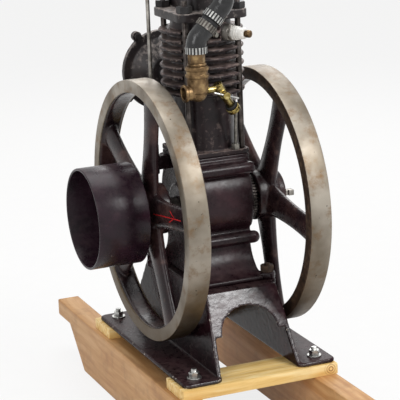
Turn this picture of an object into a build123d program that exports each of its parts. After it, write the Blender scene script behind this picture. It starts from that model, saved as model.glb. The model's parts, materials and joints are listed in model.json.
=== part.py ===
"""Vertical air-cooled stationary petrol engine on a timber skid.

Millimetres. The engine is drawn about its crank axis: X runs along the crankshaft, away from the belt
pulley, Y runs to the rear and Z is up. At the end everything is moved so that the origin lies on the
floor, under the middle of the overall box.
"""
import os
from math import cos, pi, radians, sin

from build123d import *

# Skid timbers
runner_length = 844.0
runner_width = 42.0
runner_height = 106.4
runner_left_x = -133.5
runner_right_x = 117.5
tongue_height = 32.0
tongue_length = 68.0
runner_round = 4.0
board_thick = 19.0
board_depth = 77.0
board_left = -147.0
board_right = 140.0
board_offset = 3.5

# Base casting
wheel_foot_gap = 29.0
foot_outer = 141.3
foot_half_length = 211.0
foot_thick = 7.0
foot_corner = 12.0
foot_bolt_x = 112.5
foot_bolt_inset = 28.0
web_bottom_x = 79.0
base_foot_inset = 5.0
ledge_top = -124.0
ledge_half_x = 66.0
ledge_half_y = 135.0
ledge_thick = 12.0
base_wall = 8.0
arch_spring = -193.0
arch_half_width = 52.0
arch_rise = 42.0

# Crankcase
case_half_x = 55.0
neck_half_x = 53.0
flare_half_y = 112.0
flare_edge = 8.0
flare_radius = -60.0
neck_half_y = 64.0
neck_bottom = -68.0
bulge_bottom = -36.0
bulge_top = 56.0
bulge_half_y = 80.0
bulge_edge_y = 66.0
bar_radius = 11.0
bar_y = 72.0
lower_bar_z = -55.0
upper_bar_z = 70.0
lower_bar_half_x = 55.0
upper_bar_half_x = 51.0
case_flange_top = 92.5
case_flange_thick = 8.5
bearing_radius = 38.0
bearing_face_x = 58.0
lug_radius = 14.0
lug_height = 12.0
lug_out = 13.0
lug_inset = 12.0

# Cylinder and head
barrel_radius = 52.0
cylinder_flange_top = 101.0
flange_half = 60.0
flange_corner = 10.0
cylinder_top = 329.0
fin_count = 8
fin_first_z = 202.5
fin_pitch = 15.2
fin_thick = 6.0
fin_radius = 73.0
fin_sink = 1.0
stud_offset = 48.5
stud_radius = 5.0
stud_gap = 0.3
stud_notch = 2.5
stud_depth = 6.0
head_half = 64.0
head_corner = 15.0
head_flange_thick = 15.0
head_block_half_x = 36.0
head_block_front = -46.0
head_block_rear = 58.0
head_block_height = 41.0
head_block_round = 5.0
head_nut_flats = 24.0
head_nut_height = 12.0
stud_tip = 9.0

# Valve gear on the head
cage_y = -8.0
cage_radius = 25.0
cage_flange_radius = 33.0
cage_flange_thick = 8.0
cage_height = 46.0
cage_shoulder = 6.0
cage_inlet_z = 27.0
cage_inlet_reach = 52.0
stem_radius = 4.0
stem_length = 30.0
spring_radius = 8.5
spring_length = 22.0
spring_wire = 3.0
spring_turns = 4.5
keeper_radius = 11.0
keeper_thick = 4.0
push_rod_x = -80.0
push_rod_y = 40.0
push_rod_radius = 3.4
tappet_radius = 8.0
tappet_bottom = 52.0
tappet_top = 104.0
tappet_arm = 24.0
rocker_z = 44.0
rocker_pivot_x = -18.0
rocker_valve_x = 16.0
rocker_tip_radius = 7.0
rocker_thick = 12.0
rocker_side_gap = 0.3
rocker_lash = 0.4
pin_reach = 3.0
rocker_eye_radius = 9.0
rocker_pin_radius = 5.0
bracket_width = 7.0
bracket_length = 24.0
bracket_pad = 6.0

# Intake: mixer, hose and clamps
mixer_x = -53.0
mixer_y = -105.0
mixer_run_z = 219.0
mixer_run_radius = 13.0
mixer_mouth_x = -79.0
mixer_mouth_radius = 15.0
mixer_lip = 5.0
mixer_bore = 10.5
mixer_bore_length = 24.0
mixer_bowl_radius = 16.0
mixer_radius = 18.0
mixer_top = 264.0
mixer_ring_radius = 20.0
mixer_ring_heights = (245.0, 257.0)
mixer_ring_thick = 5.0
nipple_radius = 13.4
hose_gap = 0.2
nipple_top = 295.0
hose_start = 285.0
hose_outer = 17.5
hose_bend_z = 306.0
hose_slant_z = 364.0
hose_bend_radius = 27.0
hose_top_radius = 30.0
hose_end = 10.0
coupling_start = 36.0
coupling_end = 41.5
coupling_insert = 14.0
coupling_radius = 15.5
coupling_wall = 2.5
clamp_width = 11.0
clamp_inset = 5.7
clamp_setback = 7.0
clamp_thick = 1.4
clamp_screw_radius = 5.0
clamp_screw_length = 22.0

# Fuel valve and tube
valve_start = (-15.2, -97.0, 226.5)
valve_end = (17.5, -83.0, 183.0)
valve_radius = 7.0
valve_hex_flats = 17.0
valve_hex_start = 1.0
valve_hex_length = 16.0
valve_stub_radius = 5.5
valve_stub_at = 9.0
valve_nut_radius = 12.0
valve_nut_thick = 9.0
gland_root = (-6.5, -92.0, 210.0)
gland_radius = 6.5
gland_length = 14.0
handle_stem_radius = 4.0
handle_stem_gap = 0.05
handle_socket_depth = 7.0
handle_y = -116.0
handle_bar_length = 47.0
handle_bar_radius = 1.7
handle_bar_tilt = 18.0
handle_boss_radius = 6.0
handle_boss_length = 8.0
handle_end_gap = 0.3
tube_radius = 3.0
tube_foot = 10.0
tube_foot_x = 34.5
tube_foot_y = -54.0
tube_foot_flats = 13.0
tube_lead = 5.0
tube_bend = 6.0

# Spark plug
plug_base = (20.7, -62.0, 307.0)
plug_heading = -58.5
plug_boss_radius = 17.0
plug_boss_length = 6.0
plug_clear_radius = 21.0
plug_clear_length = 40.0
plug_hex_flats = 28.0
plug_hex_length = 12.0
plug_neck_radius = 14.0
plug_neck_tip_radius = 12.5
plug_neck_length = 5.0
plug_white_radius = 12.5
plug_white_tip_radius = 9.0
plug_white_length = 22.0
plug_nut_radius = 6.5
plug_nut_length = 11.0

# Exhaust
muffler_z = 205.0
muffler_y = 198.0
muffler_radius = 74.0
muffler_rim = 6.0
muffler_dome_radius = 60.0
muffler_dome_depth = 24.0
muffler_flat_radius = 26.0
muffler_lug_radius = 9.0
muffler_lug_circle = 80.0
muffler_lug_angle = 34.0
muffler_lugs = 4
exhaust_radius = 17.0
exhaust_boss_radius = 24.0
exhaust_boss_end = 82.0

# Crankshaft, flywheels, pulley and gear
shaft_radius = 16.0
running_gap = 0.05
fit_gap = 0.05
shaft_left_end = 5.0
shaft_right = 138.0
wheel_mid_x = 110.05
wheel_radius = 228.6
wheel_width = 38.5
rim_thick = 23.8
rim_round = 7.0
hub_radius = 45.0
hub_inner_x = 83.0
hub_step_x = 121.0
hub_outer_radius = 40.0
hub_outer_x = 137.0
spoke_count = 5
spoke_root_radius = 32.0
spoke_root_width = 60.0
spoke_root_thick = 28.0
spoke_neck_radius = 72.0
spoke_neck_width = 50.0
spoke_neck_thick = 24.0
spoke_waist_width = 45.0
spoke_waist_thick = 21.5
spoke_waist_radius = 168.0
spoke_tip_width = 52.0
spoke_tip_thick = 25.0
spoke_tip_depth = 5.0
left_spoke_angle = 29.0
right_spoke_angle = 43.0
pulley_radius = 88.0
pulley_wall = 4.5
pulley_end_x = -232.5
pulley_inner_x = -141.0
pulley_web_inset = 4.0
pulley_web_thick = 8.0
gear_teeth = 48
gear_module = 1.75
gear_dedendum = 1.25
tooth_root_share = 0.30
tooth_tip_share = 0.13
gear_left_x = 64.0
gear_right_x = 78.0
key_size = 10.0
key_inner_x = 100.0
key_end_x = 158.0
key_head_length = 10.0
key_head_rise = 4.0

# Foot bolts and ledge bolts
bolt_radius = 5.0
bolt_gap = 0.3
washer_radius = 12.5
washer_thick = 2.5
nut_flats = 16.0
nut_height = 9.0
bolt_tip = 6.0

# How far a cutter runs past the face it leaves through
overshoot = 1.0

# Sizes that follow from the ones above
feet_z = -(wheel_radius + wheel_foot_gap)
foot_bolt_y = foot_half_length - foot_bolt_inset
board_y = foot_bolt_y - board_offset
base_bottom_y = foot_half_length - base_foot_inset
lug_x = neck_half_x + lug_out
lug_y = flare_half_y - lug_inset
pulley_seat_x = pulley_inner_x - pulley_web_inset
shaft_left = pulley_seat_x - pulley_web_thick - shaft_left_end
runner_top = feet_z - board_thick
floor_z = runner_top - runner_height
head_bottom = cylinder_top
head_flange_top = head_bottom + head_flange_thick
head_top = head_flange_top + head_block_height
rocker_seat = head_top + rocker_z - rocker_tip_radius - rocker_lash
crank_height = -floor_z
middle_x = (pulley_end_x + key_end_x) / 2


def bar_x_axis(radius, x0, x1, y=0.0, z=0.0):
    return Pos((x0 + x1) / 2, y, z) * Rot(0, 90, 0) * Cylinder(radius, abs(x1 - x0))


def bar_y_axis(radius, y0, y1, x=0.0, z=0.0):
    return Pos(x, (y0 + y1) / 2, z) * Rot(90, 0, 0) * Cylinder(radius, abs(y1 - y0))


def bar_z_axis(radius, z0, z1, x=0.0, y=0.0):
    return Pos(x, y, (z0 + z1) / 2) * Cylinder(radius, abs(z1 - z0))


def rod(start, end, radius):
    run = Vector(*end) - Vector(*start)
    seat = (Align.CENTER, Align.CENTER, Align.MIN)
    return Plane(origin=start, z_dir=run) * Cylinder(radius, run.length, align=seat)


def hexagon(start, direction, flats, length):
    outline = RegularPolygon(flats / 2, 6, major_radius=False)
    return Plane(origin=start, z_dir=direction) * extrude(outline, length)


def slab(half_x, half_y, z0, z1, corner):
    return extrude(Pos(0, 0, z0) * RectangleRounded(2 * half_x, 2 * half_y, corner), z1 - z0)


def block(x0, x1, y0, y1, z0, z1):
    return Pos((x0 + x1) / 2, (y0 + y1) / 2, (z0 + z1) / 2) * Box(x1 - x0, y1 - y0, z1 - z0)


def four_corners(x, y):
    return [(sx * x, sy * y) for sx in (-1, 1) for sy in (-1, 1)]


def turned(points):
    """A solid of revolution about Z from (radius, height) points."""
    return revolve(Plane.XZ * make_face(Polyline(*points, close=True)), Axis.Z)


def skid_runner(x):
    end = runner_length / 2
    shoulder = end - tongue_length
    toe = shoulder - (runner_height - tongue_height)
    outline = Polyline(
        (-end, runner_top), (end, runner_top), (end, runner_top - tongue_height),
        (shoulder, runner_top - tongue_height), (toe, floor_z), (-toe, floor_z),
        (-shoulder, runner_top - tongue_height), (-end, runner_top - tongue_height), close=True)
    timber = Pos(x - runner_width / 2, 0, 0) * extrude(Plane.YZ * make_face(outline), runner_width)
    ends = timber.edges().filter_by(Axis.X).filter_by(lambda e: abs(e.center().Y) > shoulder + runner_round)
    return fillet(ends, runner_round)


def skid_board(y):
    board = block(board_left, board_right, y - board_depth / 2, y + board_depth / 2, runner_top, feet_z)
    for x, bolt_y in four_corners(foot_bolt_x, foot_bolt_y):
        board -= bar_z_axis(bolt_radius + bolt_gap, runner_top - overshoot, feet_z + overshoot, x, bolt_y)
    return board


def base_casting():
    bottom_x = web_bottom_x
    outer = loft([
        Pos(0, 0, feet_z) * Rectangle(2 * bottom_x, 2 * base_bottom_y),
        Pos(0, 0, ledge_top) * Rectangle(2 * ledge_half_x, 2 * ledge_half_y)])
    rise = (ledge_top - ledge_thick - feet_z) / (ledge_top - feet_z)
    inner_top_x = bottom_x + (ledge_half_x - bottom_x) * rise - base_wall
    inner_top_y = base_bottom_y + (ledge_half_y - base_bottom_y) * rise - base_wall
    inner = loft([
        Pos(0, 0, feet_z) * Rectangle(2 * (bottom_x - base_wall), 2 * (base_bottom_y - base_wall)),
        Pos(0, 0, ledge_top - ledge_thick) * Rectangle(2 * inner_top_x, 2 * inner_top_y)])
    body = outer - inner
    spring = (arch_spring - feet_z) / (ledge_top - feet_z)
    spring_x = bottom_x + (ledge_half_x - bottom_x) * spring - base_wall
    doorway = make_face(Polyline(
        (-(bottom_x - base_wall), feet_z), (bottom_x - base_wall, feet_z),
        (spring_x, arch_spring), (-spring_x, arch_spring), close=True))
    passage = doorway + Pos(0, arch_spring) * Ellipse(arch_half_width, arch_rise)
    body -= Pos(0, base_bottom_y, 0) * extrude(Plane.XZ * passage, 2 * base_bottom_y)
    for x, y in four_corners(lug_x, lug_y):
        body += bar_z_axis(lug_radius, ledge_top - ledge_thick, ledge_top, x, y)
    foot_width = foot_outer - (bottom_x - base_wall)
    foot_top = feet_z + foot_thick
    for side in (-1, 1):
        foot = Pos(side * (foot_outer - foot_width / 2), 0, feet_z) * extrude(
            RectangleRounded(foot_width, 2 * foot_half_length, foot_corner), foot_thick)
        body += foot
    for x, y in four_corners(foot_bolt_x, foot_bolt_y):
        body -= bar_z_axis(bolt_radius + bolt_gap, feet_z - overshoot, foot_top + overshoot, x, y)
    return body


def foot_bolts():
    top = feet_z + foot_thick
    bolts = []
    for x, y in four_corners(foot_bolt_x, foot_bolt_y):
        bolt = bar_z_axis(bolt_radius, runner_top, top + washer_thick + nut_height + bolt_tip, x, y)
        bolt += bar_z_axis(washer_radius, top, top + washer_thick, x, y)
        bolt += hexagon((x, y, top + washer_thick), (0, 0, 1), nut_flats, nut_height)
        bolts.append(bolt)
    return Compound(children=bolts)


def mirrored_prism(half_profile, half_width):
    """Front half profile in (Y, Z), extruded across X and mirrored to the rear."""
    front = Pos(-half_width, 0, 0) * extrude(Plane.YZ * half_profile, 2 * half_width)
    return front + mirror(front, about=Plane.XZ)


def crankcase():
    flange_bottom = case_flange_top - case_flange_thick
    flare_top = ledge_top + flare_edge
    lower = make_face(Curve() + [
        Polyline((0, bulge_bottom), (0, ledge_top), (-flare_half_y, ledge_top), (-flare_half_y, flare_top)),
        RadiusArc((-flare_half_y, flare_top), (-neck_half_y, neck_bottom), flare_radius),
        Polyline((-neck_half_y, neck_bottom), (-neck_half_y, bulge_bottom), (0, bulge_bottom))])
    middle = (bulge_bottom + bulge_top) / 2
    upper = make_face(Curve() + [
        Polyline((0, flange_bottom), (0, bulge_bottom), (-bulge_edge_y, bulge_bottom)),
        ThreePointArc((-bulge_edge_y, bulge_bottom), (-bulge_half_y, middle), (-bulge_edge_y, bulge_top)),
        Polyline((-bulge_edge_y, bulge_top), (-neck_half_y, bulge_top), (-neck_half_y, flange_bottom),
                 (0, flange_bottom))])
    body = mirrored_prism(lower, neck_half_x) + mirrored_prism(upper, case_half_x)
    for x, y in four_corners(lug_x, lug_y):
        body += bar_z_axis(lug_radius, ledge_top, ledge_top + lug_height, x, y)
    for side in (-1, 1):
        for half_x, z in ((lower_bar_half_x, lower_bar_z), (upper_bar_half_x, upper_bar_z)):
            body += bar_x_axis(bar_radius, -half_x, half_x, side * bar_y, z)
            for end in (-1, 1):
                body += Pos(end * half_x, side * bar_y, z) * Sphere(bar_radius)
    body += slab(flange_half, flange_half, flange_bottom, case_flange_top, flange_corner)
    body += bar_x_axis(bearing_radius, -bearing_face_x, bearing_face_x)
    body -= bar_x_axis(shaft_radius + running_gap, -bearing_face_x - overshoot, bearing_face_x + overshoot)
    for x, y in four_corners(stud_offset, stud_offset):
        stud_end = case_flange_top - stud_depth
        body -= bar_z_axis(stud_radius + stud_gap, stud_end, case_flange_top + overshoot, x, y)
    return body


def ledge_bolts():
    seat = ledge_top + lug_height
    bolts = []
    for x, y in four_corners(lug_x, lug_y):
        bolt = bar_z_axis(bolt_radius, seat, seat + nut_height + bolt_tip, x, y)
        bolts.append(bolt + hexagon((x, y, seat), (0, 0, 1), nut_flats, nut_height))
    return Compound(children=bolts)


def fin(z):
    tip = fin_thick / 2
    root = barrel_radius - fin_sink
    edge = fin_radius - tip
    outline = make_face(Curve() + [
        Line((root, z - tip), (edge, z - tip)),
        ThreePointArc((edge, z - tip), (fin_radius, z), (edge, z + tip)),
        Line((edge, z + tip), (root, z + tip)),
        Line((root, z + tip), (root, z - tip))])
    return revolve(Plane.XZ * outline, Axis.Z)


def plug_direction():
    heading = radians(plug_heading)
    return Vector(cos(heading), sin(heading), 0)


def cylinder():
    body = slab(flange_half, flange_half, case_flange_top, cylinder_flange_top, flange_corner)
    body += bar_z_axis(barrel_radius, case_flange_top, cylinder_top)
    for index in range(fin_count):
        body += fin(fin_first_z + index * fin_pitch)
    seat = Vector(*plug_base)
    inside = seat - plug_direction() * (barrel_radius - plug_boss_length)
    body += rod(inside, seat, plug_boss_radius)
    body -= rod(seat, seat + plug_direction() * plug_clear_length, plug_clear_radius)
    body += bar_y_axis(exhaust_boss_radius, 0, exhaust_boss_end, 0, muffler_z)
    for x, y in four_corners(stud_offset, stud_offset):
        body -= bar_z_axis(stud_radius + stud_notch, cylinder_flange_top, cylinder_top + overshoot, x, y)
        low = case_flange_top - overshoot
        body -= bar_z_axis(stud_radius + stud_gap, low, cylinder_flange_top + overshoot, x, y)
    return body


def head_studs():
    top = head_flange_top + head_nut_height + stud_tip
    low = case_flange_top - stud_depth
    return Compound(children=[bar_z_axis(stud_radius, low, top, x, y)
                              for x, y in four_corners(stud_offset, stud_offset)])


def head_nuts():
    nuts = []
    low = head_flange_top - overshoot
    high = head_flange_top + head_nut_height + overshoot
    for x, y in four_corners(stud_offset, stud_offset):
        nut = hexagon((x, y, head_flange_top), (0, 0, 1), head_nut_flats, head_nut_height)
        nuts.append(nut - bar_z_axis(stud_radius + stud_gap, low, high, x, y))
    return Compound(children=nuts)


def cylinder_head():
    flange = slab(head_half, head_half, head_bottom, head_flange_top, head_corner)
    middle_y = (head_block_front + head_block_rear) / 2
    half_y = (head_block_rear - head_block_front) / 2
    top = Pos(0, middle_y, 0) * slab(head_block_half_x, half_y, head_flange_top, head_top, head_corner)
    body = flange + fillet(top.faces().sort_by(Axis.Z)[-1].edges(), head_block_round)
    for x, y in four_corners(stud_offset, stud_offset):
        low = head_bottom - overshoot
        body -= bar_z_axis(stud_radius + stud_gap, low, head_flange_top + overshoot, x, y)
    return body


def intake_cage():
    top = head_top + cage_height
    step = head_top + cage_flange_thick
    body = turned([(0, head_top), (cage_flange_radius, head_top), (cage_flange_radius, step),
                   (cage_radius, step), (cage_radius, top - cage_shoulder),
                   (cage_radius - cage_shoulder, top), (0, top)])
    body += bar_y_axis(nipple_radius, -cage_inlet_reach, 0, 0, head_top + cage_inlet_z)
    return Pos(0, cage_y, 0) * body


def valve_stem(x, y, seat, length):
    return bar_z_axis(stem_radius, seat, seat + length, x, y)


def valve_spring(x, y, seat):
    rise = spring_length - spring_wire
    coil = Helix(rise / spring_turns, rise, spring_radius)
    wire = sweep(Plane(origin=coil @ 0, z_dir=coil % 0) * Circle(spring_wire / 2), path=coil)
    return Pos(x, y, seat + spring_wire / 2) * wire


def spring_keeper(x, y, seat):
    keeper = bar_z_axis(keeper_radius, seat, seat + keeper_thick, x, y)
    low = seat - overshoot
    return keeper - bar_z_axis(stem_radius + fit_gap, low, seat + keeper_thick + overshoot, x, y)


def tappet_guide():
    arm_top = case_flange_top - case_flange_thick
    arm = block(push_rod_x, -case_half_x, push_rod_y - tappet_radius, push_rod_y + tappet_radius,
                arm_top - tappet_arm, arm_top)
    return arm + bar_z_axis(tappet_radius, tappet_bottom, tappet_top, push_rod_x, push_rod_y)


def push_rod():
    return bar_z_axis(push_rod_radius, tappet_top, rocker_seat, push_rod_x, push_rod_y)


def rocker_outline(x):
    eye = Pos(rocker_pivot_x, head_top + rocker_z) * Circle(rocker_eye_radius)
    tip = Pos(x, head_top + rocker_z) * Circle(rocker_tip_radius)
    return make_hull(eye.edges() + tip.edges())


def rocker_bore(reach):
    radius = rocker_pin_radius + fit_gap
    return bar_y_axis(radius, push_rod_y - reach, push_rod_y + reach, rocker_pivot_x, head_top + rocker_z)


def rocker_arm():
    outline = rocker_outline(push_rod_x) + rocker_outline(rocker_valve_x)
    arm = Pos(0, push_rod_y + rocker_thick / 2, 0) * extrude(Plane.XZ * outline, rocker_thick)
    return arm - rocker_bore(rocker_thick / 2 + overshoot)


def rocker_bracket():
    inner = rocker_thick / 2 + rocker_side_gap
    outer = inner + bracket_width
    pin_z = head_top + rocker_z
    half = bracket_length / 2
    body = block(rocker_pivot_x - half, rocker_pivot_x + half, push_rod_y - outer, push_rod_y + outer,
                 head_top, head_top + bracket_pad)
    cheek = make_hull(
        (Pos(rocker_pivot_x, pin_z) * Circle(rocker_eye_radius)).edges()
        + (Pos(rocker_pivot_x, head_top + bracket_pad / 2) * Rectangle(bracket_length, bracket_pad)).edges())
    for y in (push_rod_y - inner, push_rod_y + outer):
        body += Pos(0, y, 0) * extrude(Plane.XZ * cheek, bracket_width)
    return body - rocker_bore(outer + overshoot)


def rocker_pin():
    reach = rocker_thick / 2 + rocker_side_gap + bracket_width + pin_reach
    pin_z = head_top + rocker_z
    return bar_y_axis(rocker_pin_radius, push_rod_y - reach, push_rod_y + reach, rocker_pivot_x, pin_z)


def mixer_body():
    body = bar_z_axis(mixer_radius, mixer_run_z, mixer_top, mixer_x, mixer_y)
    body += bar_x_axis(mixer_run_radius, mixer_mouth_x, mixer_x, mixer_y, mixer_run_z)
    body += bar_x_axis(mixer_mouth_radius, mixer_mouth_x, mixer_mouth_x + mixer_lip, mixer_y, mixer_run_z)
    body += Pos(mixer_x, mixer_y, mixer_run_z) * Sphere(mixer_bowl_radius)
    for z in mixer_ring_heights:
        body += bar_z_axis(mixer_ring_radius, z, z + mixer_ring_thick, mixer_x, mixer_y)
    bore_end = mixer_mouth_x + mixer_bore_length
    return body - bar_x_axis(mixer_bore, mixer_mouth_x - overshoot, bore_end, mixer_y, mixer_run_z)


hose_foot = Vector(mixer_x, mixer_y, hose_start)
hose_low_bend = Vector(mixer_x, mixer_y, hose_bend_z)
hose_high_bend = Vector(0, mixer_y, hose_slant_z)
hose_elbow = Vector(0, mixer_y, head_top + cage_inlet_z)
hose_last = Vector(0, cage_y - cage_radius - hose_end, head_top + cage_inlet_z)
slant = (hose_high_bend - hose_low_bend).normalized()
coupling_low = hose_low_bend + slant * coupling_start
coupling_high = hose_low_bend + slant * coupling_end


def hose(points, radii, inner):
    route = FilletPolyline(*points, radius=radii)
    section = Plane(origin=points[0], z_dir=points[1] - points[0]) * (Circle(hose_outer) - Circle(inner))
    return sweep(section, path=route)


def hose_coupling():
    reach = slant * coupling_insert
    body = rod(coupling_low, coupling_high, coupling_radius)
    body += rod(coupling_low - reach, coupling_high + reach, nipple_radius)
    return body - rod(coupling_low - reach * 2, coupling_high + reach * 2, nipple_radius - coupling_wall)


def hose_clamp(centre, direction, screw_side):
    ring_start = Vector(*centre) - Vector(*direction).normalized() * (clamp_width / 2)
    plane = Plane(origin=ring_start, x_dir=screw_side, z_dir=direction)
    inner = hose_outer + fit_gap
    band = extrude(Circle(inner + clamp_thick) - Circle(inner), clamp_width)
    housing = Pos(inner + clamp_screw_radius, 0, clamp_width / 2) * Rot(90, 0, 0) * Cylinder(
        clamp_screw_radius, clamp_screw_length)
    housing -= Cylinder(inner, 2 * clamp_screw_length)
    return plane * (band + housing)


def hose_clamps():
    front = (0, -1, 0)
    low = Vector(mixer_x, mixer_y, hose_start + clamp_inset)
    high = hose_last - Vector(0, clamp_inset, 0)
    return Compound(children=[
        hose_clamp(low, (0, 0, 1), front),
        hose_clamp(coupling_low - slant * clamp_setback, slant, front),
        hose_clamp(coupling_high + slant * clamp_setback, slant, front),
        hose_clamp(high, (0, 1, 0), (1, 0, 0))])


valve_way = (Vector(*valve_end) - Vector(*valve_start)).normalized()
gland_x, gland_y, gland_z = gland_root
gland_face_y = gland_y - gland_length


def fuel_valve(mixer):
    start = Vector(*valve_start)
    body = rod(start, valve_end, valve_radius)
    body += hexagon(start + valve_way * valve_hex_start, valve_way, valve_hex_flats, valve_hex_length)
    elbow = start + valve_way * valve_stub_at
    body += rod((mixer_x, mixer_y, elbow.Z), elbow, valve_stub_radius)
    body += bar_y_axis(gland_radius, gland_face_y, gland_y, gland_x, gland_z)
    socket_end = gland_face_y + handle_socket_depth
    socket_start = gland_face_y - overshoot
    socket_radius = handle_stem_radius + handle_stem_gap
    body -= bar_y_axis(socket_radius, socket_start, socket_end, gland_x, gland_z)
    return body - mixer


def valve_handle():
    stem_end = gland_face_y + handle_socket_depth - handle_end_gap
    body = bar_y_axis(handle_stem_radius, handle_y, stem_end, gland_x, gland_z)
    half = handle_boss_length / 2
    body += bar_y_axis(handle_boss_radius, handle_y - half, handle_y + half, gland_x, gland_z)
    bar = Rot(0, 90 + handle_bar_tilt, 0) * Cylinder(handle_bar_radius, handle_bar_length)
    return body + Pos(gland_x, handle_y, gland_z) * bar


def union_nut():
    end = Vector(*valve_end)
    return rod(end, end + valve_way * valve_nut_thick, valve_nut_radius)


def fuel_tube():
    start = Vector(*valve_end) + valve_way * valve_nut_thick
    corner = start + valve_way * tube_lead
    foot = Vector(tube_foot_x, tube_foot_y, cylinder_flange_top)
    route = FilletPolyline(start, corner, foot + Vector(0, 0, tube_foot / 2), radius=tube_bend)
    tube = sweep(Plane(origin=start, z_dir=valve_way) * Circle(tube_radius), path=route)
    return tube + hexagon(foot, (0, 0, 1), tube_foot_flats, tube_foot)


def plug_piece(start, length, radius, tip_radius):
    seat = Vector(*plug_base) + plug_direction() * start
    cone = Cone(radius, tip_radius, length, align=(Align.CENTER, Align.CENTER, Align.MIN))
    return Plane(origin=seat, z_dir=plug_direction()) * cone


def plug_shell():
    shell = hexagon(plug_base, plug_direction(), plug_hex_flats, plug_hex_length)
    return shell + plug_piece(plug_hex_length, plug_neck_length, plug_neck_radius, plug_neck_tip_radius)


def plug_insulator():
    start = plug_hex_length + plug_neck_length
    return plug_piece(start, plug_white_length, plug_white_radius, plug_white_tip_radius)


def plug_terminal():
    start = plug_base + plug_direction() * (plug_hex_length + plug_neck_length + plug_white_length)
    return rod(start, start + plug_direction() * plug_nut_length, plug_nut_radius)


def muffler_half(side):
    rim = muffler_rim
    dome = rim + muffler_dome_depth
    body = turned([(0, 0), (muffler_radius, 0), (muffler_radius, rim), (muffler_dome_radius, rim),
                   (muffler_flat_radius, dome), (0, dome)])
    for index in range(muffler_lugs):
        angle = radians(muffler_lug_angle + 360 / muffler_lugs * index)
        x = muffler_lug_circle * cos(angle)
        y = -side * muffler_lug_circle * sin(angle)
        body += bar_z_axis(muffler_lug_radius, 0, rim, x, y)
    return Pos(0, muffler_y, muffler_z) * Rot(-90 * side, 0, 0) * body


def exhaust_pipe():
    muffler_face = muffler_y - muffler_rim - muffler_dome_depth
    return bar_y_axis(exhaust_radius, exhaust_boss_end, muffler_face, 0, muffler_z)


def spoke_section(angle, distance, width, thick):
    way = Vector(0, cos(angle), sin(angle))
    across = Vector(0, -sin(angle), cos(angle))
    plane = Plane(origin=Vector(wheel_mid_x, 0, 0) + way * distance, x_dir=across, z_dir=way)
    return plane * Ellipse(width / 2, thick / 2)


def spoke(angle):
    rim_inside = wheel_radius - rim_thick
    return loft([
        spoke_section(angle, spoke_root_radius, spoke_root_width, spoke_root_thick),
        spoke_section(angle, spoke_neck_radius, spoke_neck_width, spoke_neck_thick),
        spoke_section(angle, spoke_waist_radius, spoke_waist_width, spoke_waist_thick),
        spoke_section(angle, rim_inside + spoke_tip_depth, spoke_tip_width, spoke_tip_thick)])


def flywheel(side, spoke_angle, hub_end):
    outline = Pos(wheel_mid_x, wheel_radius - rim_thick / 2) * Rectangle(wheel_width, rim_thick)
    corners = outline.vertices().sort_by(Axis.Y)
    outline = fillet(corners[:2], rim_round)
    wheel = revolve(Plane.XZ * outline, Axis.X)
    wheel += bar_x_axis(hub_radius, hub_inner_x, hub_step_x)
    wheel += bar_x_axis(hub_outer_radius, hub_step_x, hub_end)
    for index in range(spoke_count):
        wheel += spoke(radians(spoke_angle + 360 / spoke_count * index))
    wheel -= bar_x_axis(shaft_radius + fit_gap, hub_inner_x - overshoot, hub_end + overshoot)
    return wheel if side > 0 else mirror(wheel, about=Plane.YZ)


def belt_pulley():
    body = bar_x_axis(pulley_radius, pulley_end_x, pulley_inner_x)
    inside = pulley_radius - pulley_wall
    body -= bar_x_axis(inside, pulley_end_x - overshoot, pulley_inner_x + overshoot)
    body += bar_x_axis(inside + pulley_wall / 2, pulley_seat_x - pulley_web_thick, pulley_seat_x)
    return body - bar_x_axis(shaft_radius + fit_gap, pulley_end_x, pulley_inner_x)


def crank_gear():
    pitch_radius = gear_module * gear_teeth / 2
    root = pitch_radius - gear_dedendum * gear_module
    tip = pitch_radius + gear_module
    flank = ((-tooth_root_share, root), (-tooth_tip_share, tip),
             (tooth_tip_share, tip), (tooth_root_share, root))
    points = []
    for index in range(gear_teeth):
        for share, radius in flank:
            angle = 2 * pi * (index + share) / gear_teeth
            points.append((radius * cos(angle), radius * sin(angle)))
    teeth = make_face(Polyline(*points, close=True))
    gear = Pos(gear_left_x, 0, 0) * extrude(Plane.YZ * teeth, gear_right_x - gear_left_x)
    return gear - bar_x_axis(shaft_radius + fit_gap, gear_left_x - overshoot, gear_right_x + overshoot)


def gib_key():
    half = key_size / 2
    key = block(key_inner_x, key_end_x, -shaft_radius - half, -shaft_radius + half, -half, half)
    return key + block(key_end_x - key_head_length, key_end_x, -shaft_radius - half - key_head_rise,
                       -shaft_radius + half, -half, half)


key = gib_key()
mixer = mixer_body()
cage_top = head_top + cage_height

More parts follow.
